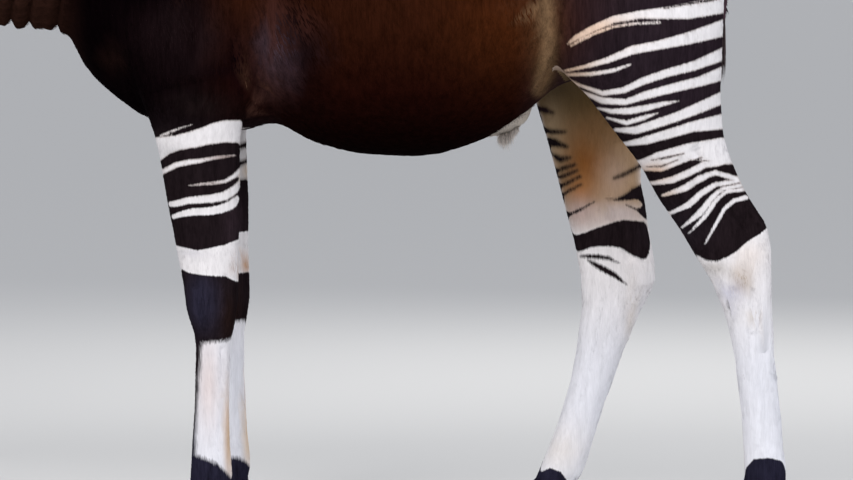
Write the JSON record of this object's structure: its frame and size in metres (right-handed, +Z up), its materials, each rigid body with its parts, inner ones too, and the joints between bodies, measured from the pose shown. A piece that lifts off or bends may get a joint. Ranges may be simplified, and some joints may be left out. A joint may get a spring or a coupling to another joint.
{
  "type": "okapi animal model",
  "caption": "Life-size standing okapi, a still animal model with cupped ears, short ossicones, a low level neck, a tufted tail and cloven hooves.",
  "frame": {"origin": "middle of the model's bounding box, on the floor that the hooves stand on", "axes": "+Z up, the animal faces -X, its left side is -Y"},
  "size_m": [2.222, 0.5594, 1.4961],
  "materials": {
    "coat": "short glossy fur, deep reddish brown",
    "muzzle": "very short dark fur and bare nose skin",
    "ear": "short dark fur with a hair fringe",
    "shank": "short pale fur with dark bands",
    "tuft": "pale soft hair",
    "eye": "wet gloss",
    "horn": "short fur, worn bare and polished at the tip",
    "hoof": "dull dark horn"
  },
  "bodies": {
    "root": {"torso": "coat", "neck": "coat", "head": "muzzle", "ear_left": "ear", "ear_right": "ear", "eye_left": "eye", "eye_right": "eye", "ossicone_left": "horn", "ossicone_right": "horn", "tail": "coat", "sheath": "tuft", "leg_front_left_upper": "coat", "leg_front_left_lower": "shank", "leg_front_right_upper": "coat", "leg_front_right_lower": "shank", "leg_hind_left_upper": "coat", "leg_hind_left_lower": "shank", "leg_hind_right_upper": "coat", "leg_hind_right_lower": "shank", "hoof_front_left_outer": "hoof", "hoof_front_left_inner": "hoof", "hoof_front_right_outer": "hoof", "hoof_front_right_inner": "hoof", "hoof_hind_left_outer": "hoof", "hoof_hind_left_inner": "hoof", "hoof_hind_right_outer": "hoof", "hoof_hind_right_inner": "hoof"}
  },
  "joints": []
}
